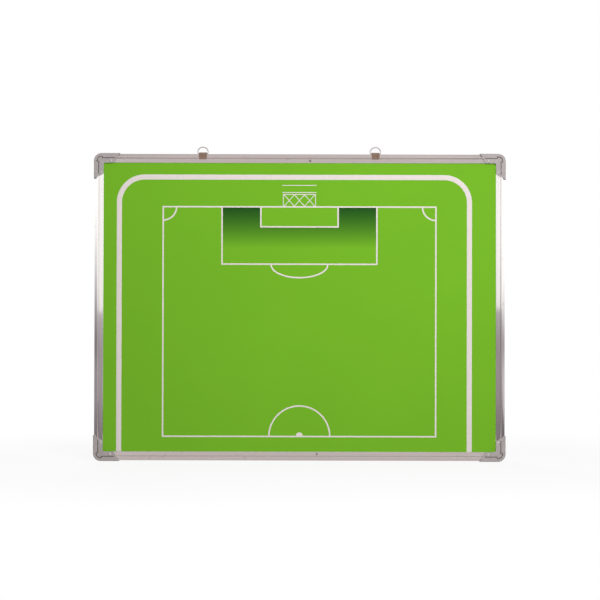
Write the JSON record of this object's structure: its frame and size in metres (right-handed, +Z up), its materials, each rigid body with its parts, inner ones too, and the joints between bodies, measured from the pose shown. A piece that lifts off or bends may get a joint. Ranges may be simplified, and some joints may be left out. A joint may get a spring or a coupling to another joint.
{
  "type": "tactics board",
  "caption": "Wall-hung magnetic tactics board: printed half-pitch panel in an aluminium frame with moulded corner caps, hung by wire rings on clips that slide along the top rail.",
  "frame": {"origin": "centre of the back plane, where the caps' back faces meet the wall", "axes": "+X to the viewer's right along the long rails, +Y from the printed face into the wall, +Z up"},
  "size_m": [0.6018, 0.0176, 0.4601],
  "materials": {
    "film": "printed green film with a satin wipe-clean face",
    "steel": "thin coated steel sheet",
    "core": "pressed fibre core",
    "back": "plain grey coated sheet",
    "rail_level": "satin anodised, drawn along its length",
    "rail_upright": "satin anodised, drawn along its length",
    "cap": "grey moulding, fine matte grain",
    "key": "black moulding",
    "screw": "bright zinc plating",
    "clip": "dull bronze plating",
    "ring": "bright drawn wire"
  },
  "bodies": {
    "board": {"printed_film": "film", "steel_sheet": "steel", "core_board": "core", "back_sheet": "back", "top_rail": "rail_level", "bottom_rail": "rail_level", "left_rail": "rail_upright", "right_rail": "rail_upright", "corner_cap_top_left": "cap", "corner_cap_top_right": "cap", "corner_cap_bottom_left": "cap", "corner_cap_bottom_right": "cap", "corner_key_top_left": "key", "corner_key_top_right": "key", "corner_key_bottom_left": "key", "corner_key_bottom_right": "key", "cap_screws": "screw", "rail_screws": "screw"},
    "clip_left": {"hanger_clip_left": "clip"},
    "ring_left": {"hanger_ring_left": "ring"},
    "clip_right": {"hanger_clip_right": "clip"},
    "ring_right": {"hanger_ring_right": "ring"}
  },
  "joints": [
    {"name": "clip_left_slide", "type": "slide", "parent": "board", "child": "clip_left", "axis": [1, 0, 0], "range_m": [-0.11, 0.109]},
    {"name": "ring_left_swing", "type": "hinge", "parent": "clip_left", "child": "ring_left", "pos_m": [-0.142, -0.0083, 0.225], "axis": [1, 0, 0], "range_deg": [-80, 80]},
    {"name": "clip_right_slide", "type": "slide", "parent": "board", "child": "clip_right", "axis": [1, 0, 0], "range_m": [-0.109, 0.142]},
    {"name": "ring_right_swing", "type": "hinge", "parent": "clip_right", "child": "ring_right", "pos_m": [0.1106, -0.0083, 0.225], "axis": [1, 0, 0], "range_deg": [-80, 80]}
  ]
}
